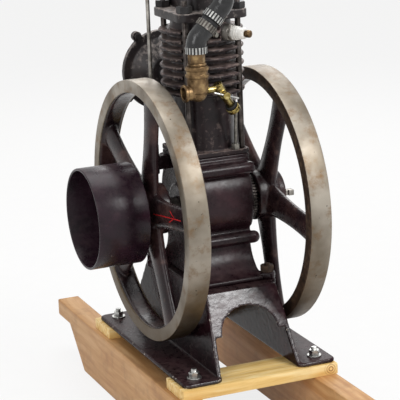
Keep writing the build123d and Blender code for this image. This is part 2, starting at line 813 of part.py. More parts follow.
nodes = {
    "skid_runner_left": skid_runner(runner_left_x),
    "skid_runner_right": skid_runner(runner_right_x),
    "skid_board_front": skid_board(-board_y),
    "skid_board_rear": skid_board(board_y),
    "base": base_casting(),
    "foot_bolts": foot_bolts(),
    "crankcase": crankcase(),
    "ledge_bolts": ledge_bolts(),
    "cylinder": cylinder(),
    "cylinder_head": cylinder_head(),
    "head_studs": head_studs(),
    "head_nuts": head_nuts(),
    "intake_cage": intake_cage(),
    "intake_stem": valve_stem(0, cage_y, cage_top, stem_length),
    "intake_spring": valve_spring(0, cage_y, cage_top),
    "intake_keeper": spring_keeper(0, cage_y, cage_top + spring_length),
    "exhaust_stem": valve_stem(rocker_valve_x, push_rod_y, head_top, rocker_seat - head_top),
    "exhaust_spring": valve_spring(rocker_valve_x, push_rod_y, head_top),
    "exhaust_keeper": spring_keeper(rocker_valve_x, push_rod_y, head_top + spring_length),
    "rocker_bracket": rocker_bracket(),
    "rocker_pin": rocker_pin(),
    "rocker_arm": rocker_arm(),
    "push_rod": push_rod(),
    "tappet_guide": tappet_guide(),
    "mixer_body": mixer,
    "mixer_nipple": bar_z_axis(nipple_radius, mixer_top, nipple_top, mixer_x, mixer_y),
    "hose_lower": hose([hose_foot, hose_low_bend, coupling_low], hose_bend_radius, nipple_radius + hose_gap),
    "hose_coupling": hose_coupling(),
    "hose_upper": hose([coupling_high, hose_high_bend, hose_elbow, hose_last],
                       (hose_bend_radius, hose_top_radius), nipple_radius + hose_gap),
    "hose_clamps": hose_clamps(),
    "fuel_valve": fuel_valve(mixer),
    "valve_handle": valve_handle(),
    "union_nut": union_nut(),
    "fuel_tube": fuel_tube(),
    "plug_shell": plug_shell(),
    "plug_insulator": plug_insulator(),
    "plug_terminal": plug_terminal(),
    "exhaust_pipe": exhaust_pipe(),
    "muffler_front": muffler_half(-1),
    "muffler_rear": muffler_half(1),
    "crankshaft": bar_x_axis(shaft_radius, shaft_left, shaft_right) - key,
    "flywheel_left": flywheel(-1, left_spoke_angle, -pulley_seat_x),
    "flywheel_right": flywheel(1, right_spoke_angle, hub_outer_x) - key,
    "belt_pulley": belt_pulley(),
    "crank_gear": crank_gear(),
    "gib_key": key,
}

os.makedirs("parts", exist_ok=True)
place = Pos(-middle_x, 0, crank_height)
for name, shape in nodes.items():
    export_step(place * shape, f"parts/{name}.step")
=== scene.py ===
import bpy
import json
import math
from mathutils import Matrix, Vector


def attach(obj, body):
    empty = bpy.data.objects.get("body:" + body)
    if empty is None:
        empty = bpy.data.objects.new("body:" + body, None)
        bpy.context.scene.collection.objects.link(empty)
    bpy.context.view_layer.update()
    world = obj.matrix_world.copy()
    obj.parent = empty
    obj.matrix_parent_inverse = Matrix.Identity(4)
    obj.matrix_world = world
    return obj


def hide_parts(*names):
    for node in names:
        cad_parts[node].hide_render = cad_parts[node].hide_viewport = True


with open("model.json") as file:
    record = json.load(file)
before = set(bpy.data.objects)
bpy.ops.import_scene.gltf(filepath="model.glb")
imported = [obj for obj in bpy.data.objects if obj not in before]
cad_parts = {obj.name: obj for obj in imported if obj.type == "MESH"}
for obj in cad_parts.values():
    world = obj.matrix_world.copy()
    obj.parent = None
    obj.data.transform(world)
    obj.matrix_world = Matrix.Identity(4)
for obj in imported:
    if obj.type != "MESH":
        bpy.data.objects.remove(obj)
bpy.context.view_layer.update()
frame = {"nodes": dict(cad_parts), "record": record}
behaviour = frame["record"]["behaviour"]
bodyOf = {node: body for body, nodes in behaviour["bodies"].items() for node in nodes}
jointAt = {joint["name"]: Vector(joint["pos_m"]) for joint in behaviour["joints"]}
mm = 0.001
crankAxis = jointAt["flywheel_spin"]  # middle of the crankshaft


def place(x, y, z):
    return crankAxis + Vector((x, y, z)) * mm  # millimetres from the crank axis


def linear(hexColour):
    shares = [int(hexColour[i:i + 2], 16) / 255 for i in (1, 3, 5)]
    return tuple(c / 12.92 if c <= 0.04045 else ((c + 0.055) / 1.055) ** 2.4 for c in shares) + (1.0,)


def tones(look, **positions):
    return [(position, linear(look[key])) for key, position in positions.items()]  # stops of a colour ramp


def perMm(size):
    return 1000.0 / size  # pattern scale for a feature of that many millimetres


def addNode(tree, kind, values=None, links=None, stops=None, **settings):
    made = tree.nodes.new(kind)
    for key, value in settings.items():
        setattr(made, key, value)
    for key, value in (values or {}).items():
        made.inputs[key].default_value = value
    for key, source in (links or {}).items():
        tree.links.new(source, made.inputs[key])
    if stops:
        ramp = made.color_ramp
        while len(ramp.elements) < len(stops):
            ramp.elements.new(0.5)
        for element, (position, colour) in zip(ramp.elements, stops):
            element.position = position
            element.color = colour if isinstance(colour, tuple) else (colour, colour, colour, 1.0)
    return made


def newMaterial(name):
    material = bpy.data.materials.new(name)
    material.use_nodes = True
    material.node_tree.nodes.clear()
    return material, material.node_tree


def brushedEnamel(name, look):
    # gloss enamel brushed over rough cast iron: nearly black maroon, lumpy, dusty on top, chipped at edges
    material, tree = newMaterial(name)
    where = addNode(tree, "ShaderNodeTexCoord").outputs["Object"]
    surface = addNode(tree, "ShaderNodeNewGeometry")
    facing = addNode(tree, "ShaderNodeSeparateXYZ", links={"Vector": surface.outputs["Normal"]})
    cloud = addNode(tree, "ShaderNodeTexNoise", {"Scale": perMm(look["cloudMm"]), "Detail": 4.0},
                    {"Vector": where})
    tint = addNode(tree, "ShaderNodeValToRGB", links={"Fac": cloud.outputs["Fac"]},
                   stops=tones(look, dark=0.32, mid=0.52, pale=0.72))
    film = addNode(tree, "ShaderNodeTexNoise",
                   {"Scale": perMm(look["dustMm"]), "Detail": 7.0, "Roughness": 0.62}, {"Vector": where})
    settled = addNode(tree, "ShaderNodeMath", {1: look["topDust"]},
                      {0: facing.outputs["Z"], 2: film.outputs["Fac"]}, operation="MULTIPLY_ADD")
    dustMask = addNode(tree, "ShaderNodeValToRGB", links={"Fac": settled.outputs[0]},
                       stops=[(0.57, 0.0), (0.84, look["dustShare"])])
    dusty = addNode(tree, "ShaderNodeMix", {"B": linear(look["dust"])},
                    {"Factor": dustMask.outputs["Color"], "A": tint.outputs["Color"]}, data_type="RGBA")
    nibble = addNode(tree, "ShaderNodeTexNoise", {"Scale": perMm(look["chipMm"]), "Detail": 6.0},
                     {"Vector": where})
    sharp = addNode(tree, "ShaderNodeMath", {1: 0.22},
                    {0: nibble.outputs["Fac"], 2: surface.outputs["Pointiness"]}, operation="MULTIPLY_ADD")
    chipMask = addNode(tree, "ShaderNodeValToRGB", links={"Fac": sharp.outputs[0]},
                       stops=[(look["chipFrom"], 0.0), (look["chipFrom"] + 0.014, 0.85)])
    colour = addNode(tree, "ShaderNodeMix", {"B": linear(look["chip"])},
                     {"Factor": chipMask.outputs["Color"], "A": dusty.outputs["Result"]}, data_type="RGBA")
    rough = addNode(tree, "ShaderNodeMapRange",
                    {"From Min": 0.3, "From Max": 0.9, "To Min": look["gloss"], "To Max": look["dull"]},
                    {"Value": settled.outputs[0]})
    lumps = addNode(tree, "ShaderNodeTexNoise", {"Scale": perMm(look["lumpMm"]), "Detail": 2.0},
                    {"Vector": where})
    skin = addNode(tree, "ShaderNodeTexNoise", {"Scale": perMm(look["skinMm"]), "Detail": 3.0},
                   {"Vector": where})
    lumpBump = addNode(tree, "ShaderNodeBump", {"Strength": look["lump"], "Distance": 1.5 * mm},
                       {"Height": lumps.outputs["Fac"]})
    bump = addNode(tree, "ShaderNodeBump", {"Strength": look["skin"], "Distance": 0.5 * mm},
                   {"Height": skin.outputs["Fac"], "Normal": lumpBump.outputs["Normal"]})
    shader = addNode(tree, "ShaderNodeBsdfPrincipled", {"IOR": 1.5, "Specular IOR Level": look["shine"]},
                     {"Base Color": colour.outputs["Result"], "Roughness": rough.outputs["Result"],
                      "Normal": bump.outputs["Normal"]})
    if "gleam" in look:
        # the front plate is rubbed bright at its left and has gone flat at its right
        spot = addNode(tree, "ShaderNodeSeparateXYZ", links={"Vector": where})
        slanted = addNode(tree, "ShaderNodeMath", {1: look["slant"]},
                          {0: spot.outputs["Z"], 2: spot.outputs["X"]}, operation="MULTIPLY_ADD")
        ragged = addNode(tree, "ShaderNodeMath", {1: look["raggedMm"] * mm},
                         {0: cloud.outputs["Fac"], 2: slanted.outputs[0]}, operation="MULTIPLY_ADD")
        middle = crankAxis.x + look["slant"] * crankAxis.z
        leftPart = addNode(tree, "ShaderNodeMapRange", {"From Min": middle + look["gleamTo"] * mm,
                                                        "From Max": middle + look["gleamFrom"] * mm},
                           {"Value": ragged.outputs[0]})
        front = addNode(tree, "ShaderNodeMapRange", {"From Min": -0.5, "From Max": -0.75},
                        {"Value": facing.outputs["Y"]})
        plate = addNode(tree, "ShaderNodeMapRange", {"To Min": look["flat"], "To Max": look["gleam"]},
                        {"Value": leftPart.outputs["Result"]})
        shine = addNode(tree, "ShaderNodeMix", {"A": look["shine"]},
                        {"Factor": front.outputs["Result"], "B": plate.outputs["Result"]}, data_type="FLOAT")
        tree.links.new(shine.outputs["Result"], shader.inputs["Specular IOR Level"])
    addNode(tree, "ShaderNodeOutputMaterial", links={"Surface": shader.outputs["BSDF"]})
    return material


enamelLook = dict(dark="#150a0d", mid="#231217", pale="#341c22", cloudMm=55.0, dust="#5d4a49",
                  dustShare=0.35, topDust=0.16, dustMm=11.0, chip="#a3968e", chipFrom=0.70, chipMm=7.0,
                  gloss=0.17, dull=0.44, lumpMm=16.0, lump=0.2, skinMm=3.2, skin=0.05, shine=0.26)
maroonEnamel = brushedEnamel("maroonEnamel", enamelLook)
baseEnamel = brushedEnamel("baseEnamel", dict(
    enamelLook, lumpMm=9.0, lump=0.3, gloss=0.16, dull=0.36, topDust=0.22, dustShare=0.4, chip="#c4bbb0",
    chipFrom=0.67, shine=0.08, flat=0.03, gleam=0.62, gleamFrom=-105.0, gleamTo=-65.0, raggedMm=60.0,
    slant=0.93))
pulleyEnamel = brushedEnamel("pulleyEnamel", dict(
    enamelLook, dark="#170c13", mid="#26161f", pale="#37232d", topDust=0.1, dustShare=0.25, lump=0.14,
    gloss=0.2, dull=0.4))
# the fins have gone greyer with heat and hold more dust
finEnamel = brushedEnamel("finEnamel", dict(
    enamelLook, dark="#161012", mid="#261c1e", pale="#3c2e2d", dust="#94827c", dustShare=0.7, topDust=0.24,
    chip="#74665f", chipFrom=0.655, gloss=0.24, dull=0.6))
blackEnamel = brushedEnamel("blackEnamel", dict(
    enamelLook, dark="#171314", mid="#262021", pale="#38302f", dust="#aca19b", dustShare=0.85, topDust=0.26,
    gloss=0.28, dull=0.62, shine=0.34))
spokeEnamel = brushedEnamel("spokeEnamel", dict(
    enamelLook, dark="#180f12", mid="#2a1c1e", pale="#47322f", dust="#7b5f56", dustShare=0.6, topDust=0.0,
    dustMm=17.0, chip="#8d7563", chipFrom=0.685, gloss=0.16, dull=0.5))


def turnedIron(name, look):
    # machined rim left bare: warm grey, turning lines, tan patina, small black pits, darker brown towards
    # the bottom
    material, tree = newMaterial(name)
    where = addNode(tree, "ShaderNodeTexCoord").outputs["Object"]
    broad = addNode(tree, "ShaderNodeTexNoise",
                    {"Scale": perMm(look["broadMm"]), "Detail": 4.0, "Roughness": 0.5}, {"Vector": where})
    tone = addNode(tree, "ShaderNodeValToRGB", links={"Fac": broad.outputs["Fac"]},
                   stops=tones(look, brown=0.30, mid=0.44, bright=0.66))
    patch = addNode(tree, "ShaderNodeTexNoise",
                    {"Scale": perMm(look["patchMm"]), "Detail": 8.0, "Roughness": 0.68}, {"Vector": where})
    patchMask = addNode(tree, "ShaderNodeValToRGB", links={"Fac": patch.outputs["Fac"]},
                        stops=[(0.51, 0.0), (0.68, look["patchShare"])])
    stained = addNode(tree, "ShaderNodeMix", {"B": linear(look["tan"])},
                      {"Factor": patchMask.outputs["Color"], "A": tone.outputs["Color"]}, data_type="RGBA")
    speck = addNode(tree, "ShaderNodeTexNoise",
                    {"Scale": perMm(look["pitMm"]), "Detail": 3.0, "Roughness": 0.6}, {"Vector": where})
    pits = addNode(tree, "ShaderNodeValToRGB", links={"Fac": speck.outputs["Fac"]},
                   stops=[(0.69, 0.0), (0.73, 1.0)])
    colour = addNode(tree, "ShaderNodeMix", {"B": linear(look["pit"])},
                     {"Factor": pits.outputs["Color"], "A": stained.outputs["Result"]}, data_type="RGBA")
    # the colour is mixed towards a darker brown towards the bottom of the rim
    height = addNode(tree, "ShaderNodeSeparateXYZ", links={"Vector": where})
    low = addNode(tree, "ShaderNodeMapRange",
                  {"From Min": crankAxis.z - look["lowMm"] * mm, "From Max": crankAxis.z,
                   "To Min": look["lowShare"], "To Max": 0.0}, {"Value": height.outputs["Z"]})
    lowerDarkened = addNode(tree, "ShaderNodeMix", {"B": linear(look["lowBrown"])},
                   {"Factor": low.outputs["Result"], "A": colour.outputs["Result"]}, data_type="RGBA")
    around = perMm(look["lineLongMm"])
    lines = addNode(tree, "ShaderNodeMapping", {"Scale": (perMm(look["lineMm"]), around, around)},
                    {"Vector": where})
    turning = addNode(tree, "ShaderNodeTexNoise", {"Scale": 1.0, "Detail": 3.0},
                      {"Vector": lines.outputs["Vector"]})
    rough = addNode(tree, "ShaderNodeMapRange", {"To Min": look["gloss"], "To Max": look["dull"]},
                    {"Value": patch.outputs["Fac"]})
    bump = addNode(tree, "ShaderNodeBump", {"Strength": 0.25, "Distance": 0.3 * mm},
                   {"Height": turning.outputs["Fac"]})
    shader = addNode(tree, "ShaderNodeBsdfPrincipled", {"Metallic": 0.85},
                     {"Base Color": lowerDarkened.outputs["Result"], "Roughness": rough.outputs["Result"],
                      "Normal": bump.outputs["Normal"]})
    addNode(tree, "ShaderNodeOutputMaterial", links={"Surface": shader.outputs["BSDF"]})
    return material


rimIron = turnedIron("turnedCastIron", dict(
    brown="#5c4f3f", mid="#7a7164", bright="#a49c90", broadMm=85.0, tan="#715536", patchMm=30.0,
    patchShare=0.8, pit="#221b17", pitMm=5.5, lowBrown="#4c3d27", lowShare=0.9, lowMm=210.0, lineMm=1.2,
    lineLongMm=90.0, gloss=0.32, dull=0.6))


def barMetal(name, look):
    # machined, plated, rusty or tarnished small metal: tone clouds and a fine grit
    material, tree = newMaterial(name)
    where = addNode(tree, "ShaderNodeTexCoord").outputs["Object"]
    cloud = addNode(tree, "ShaderNodeTexNoise",
                    {"Scale": perMm(look["cloudMm"]), "Detail": 6.0, "Roughness": 0.6}, {"Vector": where})
    tone = addNode(tree, "ShaderNodeValToRGB", links={"Fac": cloud.outputs["Fac"]},
                   stops=tones(look, dark=0.32, mid=0.52, bright=0.72))
    rough = addNode(tree, "ShaderNodeMapRange", {"To Min": look["gloss"], "To Max": look["dull"]},
                    {"Value": cloud.outputs["Fac"]})
    grit = addNode(tree, "ShaderNodeTexNoise", {"Scale": perMm(look["gritMm"]), "Detail": 3.0},
                   {"Vector": where})
    bump = addNode(tree, "ShaderNodeBump", {"Strength": look["grit"], "Distance": 0.2 * mm},
                   {"Height": grit.outputs["Fac"]})
    shader = addNode(tree, "ShaderNodeBsdfPrincipled", {"Metallic": look["metal"]},
                     {"Base Color": tone.outputs["Color"], "Roughness": rough.outputs["Result"],
                      "Normal": bump.outputs["Normal"]})
    addNode(tree, "ShaderNodeOutputMaterial", links={"Surface": shader.outputs["BSDF"]})
    return material


# steel: machined and dull, dark with old oil, or rusted brown
bareSteel = barMetal("bareSteel", dict(
    dark="#5d5852", mid="#8b8781", bright="#b3afa8", cloudMm=14.0, gloss=0.28, dull=0.5, gritMm=1.4,
    grit=0.2, metal=0.95))
oiledSteel = barMetal("oiledSteel", dict(
    dark="#2b2624", mid="#48423f", bright="#6d6662", cloudMm=12.0, gloss=0.26, dull=0.46, gritMm=1.6,
    grit=0.2, metal=0.85))
rustyIron = barMetal("rustyIron", dict(
    dark="#21170f", mid="#3f2d20", bright="#63503e", cloudMm=9.0, gloss=0.42, dull=0.7, gritMm=1.8,
    grit=0.6, metal=0.3))
# zinc plate: pale and bright when new, greyer with age
zincPlate = barMetal("zincPlate", dict(
    dark="#8d8d8b", mid="#b7b7b4", bright="#d6d6d2", cloudMm=9.0, gloss=0.2, dull=0.4, gritMm=1.2,
    grit=0.15, metal=0.95))
dullZinc = barMetal("dullZinc", dict(
    dark="#5c5a55", mid="#84817a", bright="#a9a59b", cloudMm=9.0, gloss=0.3, dull=0.5, gritMm=1.2,
    grit=0.2, metal=0.9))
# brass: brown with tarnish on the mixer, yellow on the newer fuel fittings
oldBrass = barMetal("tarnishedBrass", dict(
    dark="#3f2f1b", mid="#7a6245", bright="#b59a6c", cloudMm=18.0, gloss=0.28, dull=0.5, gritMm=1.8,
    grit=0.25, metal=0.9))
newBrass = barMetal("brightBrass", dict(
    dark="#5f5230", mid="#9c8a52", bright="#d9cb92", cloudMm=7.0, gloss=0.2, dull=0.36, gritMm=1.2,
    grit=0.12, metal=1.0))
# iron blacked by heat: near black with a dull sheen
blackIron = barMetal("blackIron", dict(
    dark="#141213", mid="#232122", bright="#3a3735", cloudMm=22.0, gloss=0.3, dull=0.55, gritMm=2.0,
    grit=0.4, metal=0.3))


def plainSkin(name, look):
    # rubber, porcelain, paint and grease: one body colour with a faint cloud and shallow dents
    material, tree = newMaterial(name)
    where = addNode(tree, "ShaderNodeTexCoord").outputs["Object"]
    cloud = addNode(tree, "ShaderNodeTexNoise", {"Scale": perMm(look["cloudMm"]), "Detail": 4.0},
                    {"Vector": where})
    tone = addNode(tree, "ShaderNodeValToRGB", links={"Fac": cloud.outputs["Fac"]},
                   stops=tones(look, dark=0.35, pale=0.65))
    rough = addNode(tree, "ShaderNodeMapRange", {"To Min": look["gloss"], "To Max": look["dull"]},
                    {"Value": cloud.outputs["Fac"]})
    bump = addNode(tree, "ShaderNodeBump", {"Strength": look["dent"], "Distance": 1.0 * mm},
                   {"Height": cloud.outputs["Fac"]})
    shader = addNode(tree, "ShaderNodeBsdfPrincipled", {"IOR": look["ior"]},
                     {"Base Color": tone.outputs["Color"], "Roughness": rough.outputs["Result"],
                      "Normal": bump.outputs["Normal"]})
    addNode(tree, "ShaderNodeOutputMaterial", links={"Surface": shader.outputs["BSDF"]})
    return material


hoseRubber = plainSkin("hoseRubber", dict(
    dark="#0c0c0d", pale="#1c1c1d", cloudMm=8.0, gloss=0.04, dull=0.34, dent=0.9, ior=1.5))
porcelain = plainSkin("glazedPorcelain", dict(
    dark="#dcd9d2", pale="#f1efea", cloudMm=9.0, gloss=0.08, dull=0.2, dent=0.03, ior=1.55))
redPaint = plainSkin("redSignPaint", dict(
    dark="#a5131b", pale="#d02a2c", cloudMm=6.0, gloss=0.3, dull=0.5, dent=0.05, ior=1.5))
# near-black grease for the coupling and the seal; the same finish paints the shade inside the clamp slots
blackGreaseAndSlotShade = plainSkin("blackGreaseAndSlotShade", dict(
    dark="#0d0d0e", pale="#1a1a1b", cloudMm=4.0, gloss=0.5, dull=0.7, dent=0.05, ior=1.45))


def sawnTimber(name, look):
    # softwood: growth bands stretched along the board, fine fibre, worn brown patches and perhaps a knot
    material, tree = newMaterial(name)
    where = addNode(tree, "ShaderNodeTexCoord").outputs["Object"]
    bandScale = [perMm(look["bandMm"])] * 3
    bandScale[look["along"]] = perMm(look["bandMm"] * look["bandStretch"])
    turned = addNode(tree, "ShaderNodeMapping", {"Scale": bandScale}, {"Vector": where})
    warp = addNode(tree, "ShaderNodeTexNoise", {"Scale": perMm(look["warpMm"]), "Detail": 2.0},
                   {"Vector": where})
    shifted = addNode(tree, "ShaderNodeVectorMath", {"Scale": look["warp"]}, {0: warp.outputs["Color"]},
                      operation="SCALE")
    bent = addNode(tree, "ShaderNodeVectorMath",
                   links={0: turned.outputs["Vector"], 1: shifted.outputs["Vector"]})
    bands = addNode(tree, "ShaderNodeTexNoise", {"Scale": 1.0, "Detail": 3.0, "Distortion": 0.3},
                    {"Vector": bent.outputs["Vector"]})
    tone = addNode(tree, "ShaderNodeValToRGB", links={"Fac": bands.outputs["Fac"]},
                   stops=tones(look, dark=0.34, mid=0.5, pale=0.66))
    fineScale = [perMm(look["fibreMm"])] * 3
    fineScale[look["along"]] = perMm(look["fibreLongMm"])
    fine = addNode(tree, "ShaderNodeMapping", {"Scale": fineScale}, {"Vector": where})
    fibre = addNode(tree, "ShaderNodeTexNoise", {"Scale": 1.0, "Detail": 3.0},
                    {"Vector": fine.outputs["Vector"]})
    fibreTone = addNode(tree, "ShaderNodeMix", {"Factor": 0.2},
                        {"A": tone.outputs["Color"], "B": fibre.outputs["Fac"]},
                        data_type="RGBA", blend_type="SOFT_LIGHT")
    grime = addNode(tree, "ShaderNodeTexNoise",
                    {"Scale": perMm(look["grimeMm"]), "Detail": 7.0, "Roughness": 0.65}, {"Vector": where})
    grimeMask = addNode(tree, "ShaderNodeValToRGB", links={"Fac": grime.outputs["Fac"]},
                        stops=[(0.5, 0.0), (0.74, look["grimeShare"])])
    colour = addNode(tree, "ShaderNodeMix", {"B": linear(look["grime"])},
                     {"Factor": grimeMask.outputs["Color"], "A": fibreTone.outputs["Result"]},
                     data_type="RGBA")
    if "knot" in look:
        centred = addNode(tree, "ShaderNodeMapping", {"Location": -place(*look["knot"])}, {"Vector": where})
        # a wave texture at scale 1 has a ring about every 0.314 units
        rings = addNode(tree, "ShaderNodeTexWave",
                        {"Scale": perMm(look["knotRingMm"]) * 0.314, "Distortion": 1.5},
                        {"Vector": centred.outputs["Vector"]},
                        wave_type="RINGS", rings_direction="SPHERICAL")
        heart = addNode(tree, "ShaderNodeValToRGB", links={"Fac": rings.outputs["Fac"]},
                        stops=tones(look, knotDark=0.2, mid=0.8))
        away = addNode(tree, "ShaderNodeVectorMath", links={0: centred.outputs["Vector"]},
                       operation="LENGTH")
        near = addNode(tree, "ShaderNodeMapRange", {"From Min": look["knotFrom"] * mm,
                                                    "From Max": look["knotTo"] * mm,
                                                    "To Min": 0.9, "To Max": 0.0},
                       {"Value": away.outputs["Value"]})
        colour = addNode(tree, "ShaderNodeMix",
                         links={"Factor": near.outputs["Result"], "A": colour.outputs["Result"],
                                "B": heart.outputs["Color"]}, data_type="RGBA")
    bump = addNode(tree, "ShaderNodeBump", {"Strength": 0.4, "Distance": 0.5 * mm},
                   {"Height": fibre.outputs["Fac"]})
    shader = addNode(tree, "ShaderNodeBsdfPrincipled", {"IOR": 1.45, "Roughness": look["rough"]},
                     {"Base Color": colour.outputs["Result"], "Normal": bump.outputs["Normal"]})
    addNode(tree, "ShaderNodeOutputMaterial", links={"Surface": shader.outputs["BSDF"]})
    return material


timberLook = dict(bandStretch=16.0, warpMm=140.0, warp=1.6, fibreMm=1.3, fibreLongMm=34.0, grimeMm=60.0)
boardPine = sawnTimber("planedPine", dict(
    timberLook, dark="#deb365", mid="#efcb84", pale="#f8dfa6", grime="#c99e5a", grimeShare=0.35,
    bandMm=9.0, along=0, rough=0.5, knot=(127.0, -217.0, -266.0), knotDark="#9a5f24", knotRingMm=4.0,
    knotFrom=4.0, knotTo=15.0))
runnerPine = sawnTimber("oldPine", dict(
    timberLook, dark="#b78450", mid="#c4945f", pale="#cfa371", grime="#8a5a30", grimeShare=0.55,
    bandMm=11.0, along=1, rough=0.55))
print("finishes:", len(bpy.data.materials))


def onlySelect(obj):
    if bpy.context.object and bpy.context.object.mode != "OBJECT":
        bpy.ops.object.mode_set(mode="OBJECT")
    bpy.ops.object.select_all(action="DESELECT")
    obj.select_set(True)
    bpy.context.view_layer.objects.active = obj


def applyModifier(obj, kind, **settings):
    onlySelect(obj)
    modifier = obj.modifiers.new(kind.title(), kind)
    for key, value in settings.items():
        setattr(modifier, key, value)
    bpy.ops.object.modifier_apply(modifier=modifier.name)


def editAll(obj):
    onlySelect(obj)
    bpy.context.tool_settings.mesh_select_mode = (True, False, False)
    bpy.ops.object.mode_set(mode="EDIT")
    bpy.ops.mesh.select_all(action="SELECT")


def pickFaces(obj, test):
    onlySelect(obj)
    bpy.context.tool_settings.mesh_select_mode = (False, False, True)
    for part in (obj.data.vertices, obj.data.edges, obj.data.polygons):
        part.foreach_set("select", [False] * len(part))
    for face in obj.data.polygons:
        face.select = test(face)
    bpy.ops.object.mode_set(mode="EDIT")


def secondFinish(obj, test, material):
    obj.data.materials.append(material)
    pickFaces(obj, test)
    obj.active_material_index = len(obj.data.materials) - 1
    bpy.ops.object.material_slot_assign()
    bpy.ops.object.mode_set(mode="OBJECT")


def copyOfNode(node, name):
    mesh = frame["nodes"][node].data.copy()
    mesh.materials.clear()
    obj = bpy.data.objects.new(name, mesh)
    bpy.context.scene.collection.objects.link(obj)
    editAll(obj)
    bpy.ops.mesh.remove_doubles(threshold=0.01 * mm)
    bpy.ops.object.mode_set(mode="OBJECT")
    return obj


def smoothShade(obj, degrees=None):
    onlySelect(obj)
    if degrees is None:
        bpy.ops.object.shade_smooth()
    else:
        bpy.ops.object.shade_smooth_by_angle(angle=math.radians(degrees))


def freeze(obj):
    onlySelect(obj)
    bpy.ops.object.transform_apply(location=True, rotation=True, scale=True)


def settle(obj, node, material=None, replace=True):
    if material:
        obj.data.materials.clear()
        obj.data.materials.append(material)
    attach(obj, bodyOf[node])
    if replace:
        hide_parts(node)


# castings: the edges and inside corners of sand-cast iron are rounded, so each is remeshed and relaxed
castings = dict(
    base=dict(finish=baseEnamel, voxelMm=1.7, relax=7, keep=0.30),
    crankcase=dict(finish=maroonEnamel, voxelMm=1.7, relax=8, keep=0.30),
    cylinder=dict(finish=finEnamel, voxelMm=1.2, relax=4, keep=0.35),
    cylinder_head=dict(finish=blackEnamel, voxelMm=1.2, relax=6, keep=0.30),
    intake_cage=dict(finish=blackEnamel, voxelMm=0.9, relax=5, keep=0.35),
    rocker_bracket=dict(finish=blackEnamel, voxelMm=0.8, relax=4, keep=0.4),
    rocker_arm=dict(finish=blackIron, voxelMm=0.8, relax=5, keep=0.4),
    tappet_guide=dict(finish=maroonEnamel, voxelMm=0.9, relax=5, keep=0.4),
    muffler_front=dict(finish=blackEnamel, voxelMm=1.3, relax=5, keep=0.35),
    muffler_rear=dict(finish=blackEnamel, voxelMm=1.3, relax=5, keep=0.35),
    mixer_body=dict(finish=oldBrass, voxelMm=0.6, relax=5, keep=0.35),
)


def relaxCasting(obj, look):
    applyModifier(obj, "REMESH", mode="VOXEL", voxel_size=look["voxelMm"] * mm)
    applyModifier(obj, "SMOOTH", factor=0.5, iterations=look["relax"])
    applyModifier(obj, "DECIMATE", decimate_type="COLLAPSE", ratio=look["keep"])
    smoothShade(obj)


for node, look in castings.items():
    casting = copyOfNode(node, node + "Cast")
    relaxCasting(casting, look)
    settle(casting, node, look["finish"])
    print("casting", node, len(casting.data.polygons), "faces")


# flywheels: hub, spokes and inner rim stay as cast and painted, and a turned band makes the bare rim
wheel = dict(radius=228.6, width=38.5, midX=110.05, bandInner=206.6, proud=0.15, edge=1.4, steps=192,
             castOuter=212.0, cutterOuter=250.0, cutterHalf=40.0, cutterEdge=1.0, cutterSteps=128,
             voxelMm=1.9, relax=7, keep=0.33, inwardFacing=0.7)


def ringAround(name, x, inner, outer, halfWidth, edge, steps):
    # a bevelled rectangle spun about the crankshaft
    middle = place(x, 0, (inner + outer) / 2)
    bpy.ops.object.select_all(action="DESELECT")
    bpy.ops.mesh.primitive_plane_add(size=1.0, location=middle, rotation=(math.pi / 2, 0, 0))
    ring = bpy.context.object
    ring.name = name
    ring.scale = (2 * halfWidth * mm, (outer - inner) * mm, 1.0)
    freeze(ring)
    editAll(ring)
    bpy.ops.mesh.bevel(offset=edge * mm, segments=3, affect="VERTICES")
    bpy.ops.mesh.delete(type="ONLY_FACE")
    bpy.ops.mesh.select_all(action="SELECT")
    bpy.ops.mesh.spin(steps=steps, angle=2 * math.pi, center=crankAxis, axis=(1, 0, 0))
    bpy.ops.mesh.select_all(action="SELECT")
    bpy.ops.mesh.remove_doubles(threshold=0.02 * mm)
    bpy.ops.mesh.normals_make_consistent(inside=False)
    bpy.ops.object.mode_set(mode="OBJECT")
    smoothShade(ring, 35)
    return ring


for side, node in ((-1, "flywheel_left"), (1, "flywheel_right")):
    wheelX = side * wheel["midX"]
    spokes = copyOfNode(node, node + "Spokes")
    cutter = ringAround("rimCutter", wheelX, wheel["castOuter"], wheel["cutterOuter"], wheel["cutterHalf"],
                        wheel["cutterEdge"], wheel["cutterSteps"])
    applyModifier(spokes, "BOOLEAN", operation="DIFFERENCE", object=cutter, solver="EXACT")
    bpy.data.objects.remove(cutter)
    relaxCasting(spokes, wheel)
    settle(spokes, node, spokeEnamel)
    rim = ringAround(node + "Rim", wheelX, wheel["bandInner"], wheel["radius"],
                     wheel["width"] / 2 + wheel["proud"], wheel["edge"], wheel["steps"])
    settle(rim, node, rimIron, replace=False)
    # the faces towards the crankcase are finished dark brown
    secondFinish(rim, lambda face: face.normal.x * side < -wheel["inwardFacing"], rustyIron)
    print("flywheel", node, len(spokes.data.polygons), "faces in the spokes")


# the rest keep the machined shape and get a fine broken edge, in millimetres
machined = dict(
    belt_pulley=(pulleyEnamel, 1.6), crankshaft=(oiledSteel, 0.8), crank_gear=(oiledSteel, 0.2),
    gib_key=(bareSteel, 0.8), exhaust_pipe=(blackIron, 0.5), push_rod=(bareSteel, 0.3),
    rocker_pin=(bareSteel, 0.5), intake_stem=(bareSteel, 0.4), exhaust_stem=(bareSteel, 0.4),
    intake_keeper=(oiledSteel, 0.6), exhaust_keeper=(oiledSteel, 0.6), intake_spring=(oiledSteel, 0.0),
    exhaust_spring=(oiledSteel, 0.0), head_studs=(oiledSteel, 0.6), hose_lower=(hoseRubber, 1.0),
    hose_upper=(hoseRubber, 1.0), hose_coupling=(blackGreaseAndSlotShade, 0.6), fuel_valve=(newBrass, 0.5),
    valve_handle=(zincPlate, 0.5), union_nut=(newBrass, 1.2), fuel_tube=(dullZinc, 0.3),
    skid_board_front=(boardPine, 1.2), skid_board_rear=(boardPine, 1.2),
    skid_runner_left=(runnerPine, 2.0), skid_runner_right=(runnerPine, 2.0),
)
brokenEdge = dict(flatAngle=0.6, edgeAngle=38.0, shadeAngle=40.0, segments=2)
